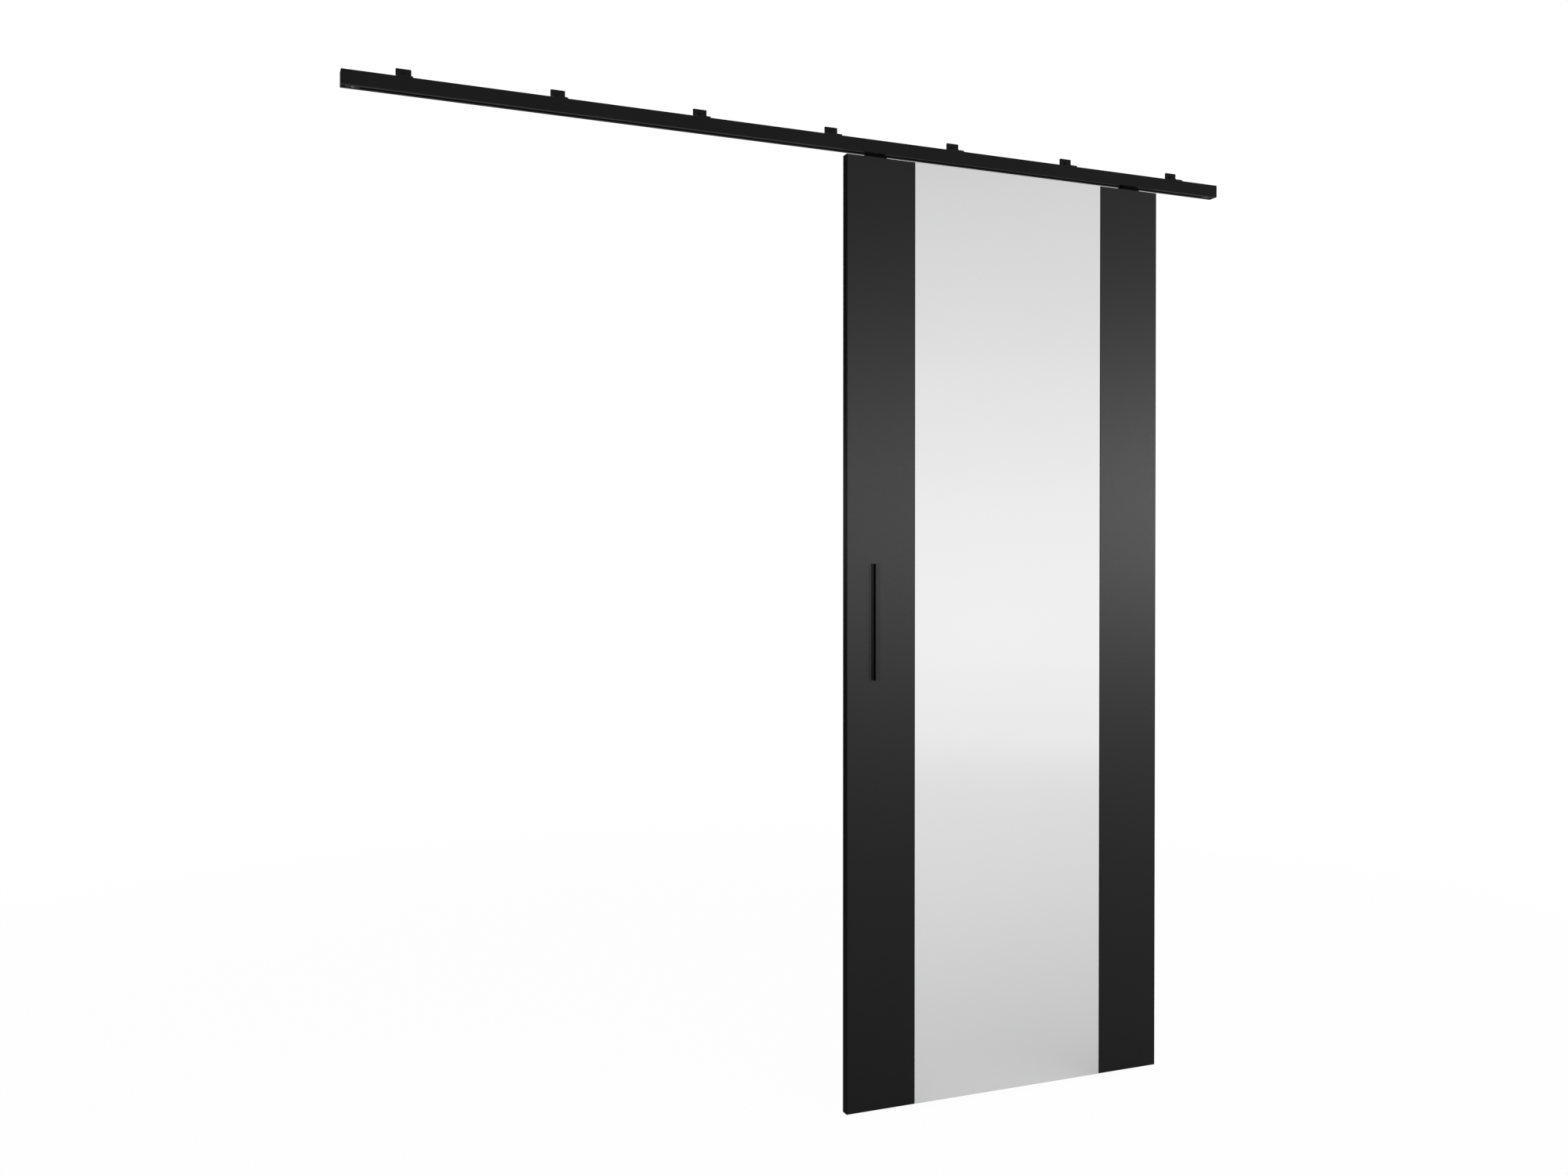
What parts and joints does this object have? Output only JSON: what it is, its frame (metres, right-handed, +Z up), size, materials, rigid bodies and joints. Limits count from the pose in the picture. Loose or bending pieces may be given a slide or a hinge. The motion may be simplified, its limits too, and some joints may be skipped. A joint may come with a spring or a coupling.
{
  "type": "sliding mirror door",
  "caption": "Wall-mounted top-hung sliding door: black panel with a tall mirror and slim pull, on roller carriages in an exposed rail held by wall brackets",
  "frame": {"origin": "on the wall plane, at the centre of the row of wall-screw holes, in the middle bracket", "axes": "+X along the rail to the right, +Y into the wall, +Z up; the door faces -Y"},
  "size_m": [2, 0.039, 2.109],
  "materials": {
    "black_anodised_rail": "black anodised, satin",
    "black_steel_bracket": "black powder coat, satin",
    "zinc_fasteners": "zinc plated",
    "black_fasteners": "black zinc coat on steel, satin",
    "black_plastic": "black moulded plastic",
    "buffer_rubber": "black rubber",
    "black_die_cast": "black, matt",
    "black_board": "black laminated board, satin",
    "black_strip": "black laminated panel, satin",
    "black_edge_band": "black edge band, satin",
    "mirror": "silvered float glass, polished edges",
    "foam_tape": "double-sided foam tape",
    "black_hanger": "black, matt",
    "carriage_body": "black die casting, matt",
    "steel_axle": "turned steel, riveted",
    "nylon_roller": "natural nylon",
    "black_handle": "black powder coat, satin"
  },
  "bodies": {
    "track": {"rail": "black_anodised_rail", "end_cap_left": "black_plastic", "end_cap_right": "black_plastic", "bracket_1": "black_steel_bracket", "bracket_2": "black_steel_bracket", "bracket_3": "black_steel_bracket", "bracket_4": "black_steel_bracket", "bracket_5": "black_steel_bracket", "bracket_6": "black_steel_bracket", "bracket_7": "black_steel_bracket", "bracket_bolts": "black_fasteners", "bracket_nuts": "black_fasteners", "stop_left": "black_die_cast", "stop_right": "black_die_cast", "buffer_left": "buffer_rubber", "buffer_right": "buffer_rubber", "stop_screws": "zinc_fasteners"},
    "door": {"door_core": "black_board", "strip_left": "black_strip", "strip_right": "black_strip", "mirror_glass": "mirror", "mirror_tape": "foam_tape", "edge_left": "black_edge_band", "edge_right": "black_edge_band", "edge_top": "black_edge_band", "edge_bottom": "black_edge_band", "hanger_left": "black_hanger", "hanger_right": "black_hanger", "hanger_screws": "zinc_fasteners", "hanger_bolts": "zinc_fasteners", "lock_nuts": "zinc_fasteners", "carriage_left": "carriage_body", "carriage_right": "carriage_body", "axles": "steel_axle", "handle_plate": "black_handle", "handle_grip": "black_handle", "handle_screws": "zinc_fasteners"},
    "wheels_1": {"rollers_1": "nylon_roller"},
    "wheels_2": {"rollers_2": "nylon_roller"},
    "wheels_3": {"rollers_3": "nylon_roller"},
    "wheels_4": {"rollers_4": "nylon_roller"}
  },
  "joints": [
    {"name": "door_slide", "type": "slide", "parent": "track", "child": "door", "axis": [1, 0, 0], "range_m": [-1.0263, 0.1733]},
    {"name": "wheels_1_roll", "type": "hinge", "parent": "door", "child": "wheels_1", "pos_m": [0.0785, -0.016, -0.0304], "axis": [0, 1, 0], "continuous": true},
    {"name": "wheels_2_roll", "type": "hinge", "parent": "door", "child": "wheels_2", "pos_m": [0.1185, -0.016, -0.0304], "axis": [0, 1, 0], "continuous": true},
    {"name": "wheels_3_roll", "type": "hinge", "parent": "door", "child": "wheels_3", "pos_m": [0.7345, -0.016, -0.0304], "axis": [0, 1, 0], "continuous": true},
    {"name": "wheels_4_roll", "type": "hinge", "parent": "door", "child": "wheels_4", "pos_m": [0.7745, -0.016, -0.0304], "axis": [0, 1, 0], "continuous": true}
  ],
  "couplings": [
    {"joint": "wheels_1_roll", "follows": "door_slide", "rad_per_m": 111.11},
    {"joint": "wheels_2_roll", "follows": "door_slide", "rad_per_m": 111.11},
    {"joint": "wheels_3_roll", "follows": "door_slide", "rad_per_m": 111.11},
    {"joint": "wheels_4_roll", "follows": "door_slide", "rad_per_m": 111.11}
  ]
}
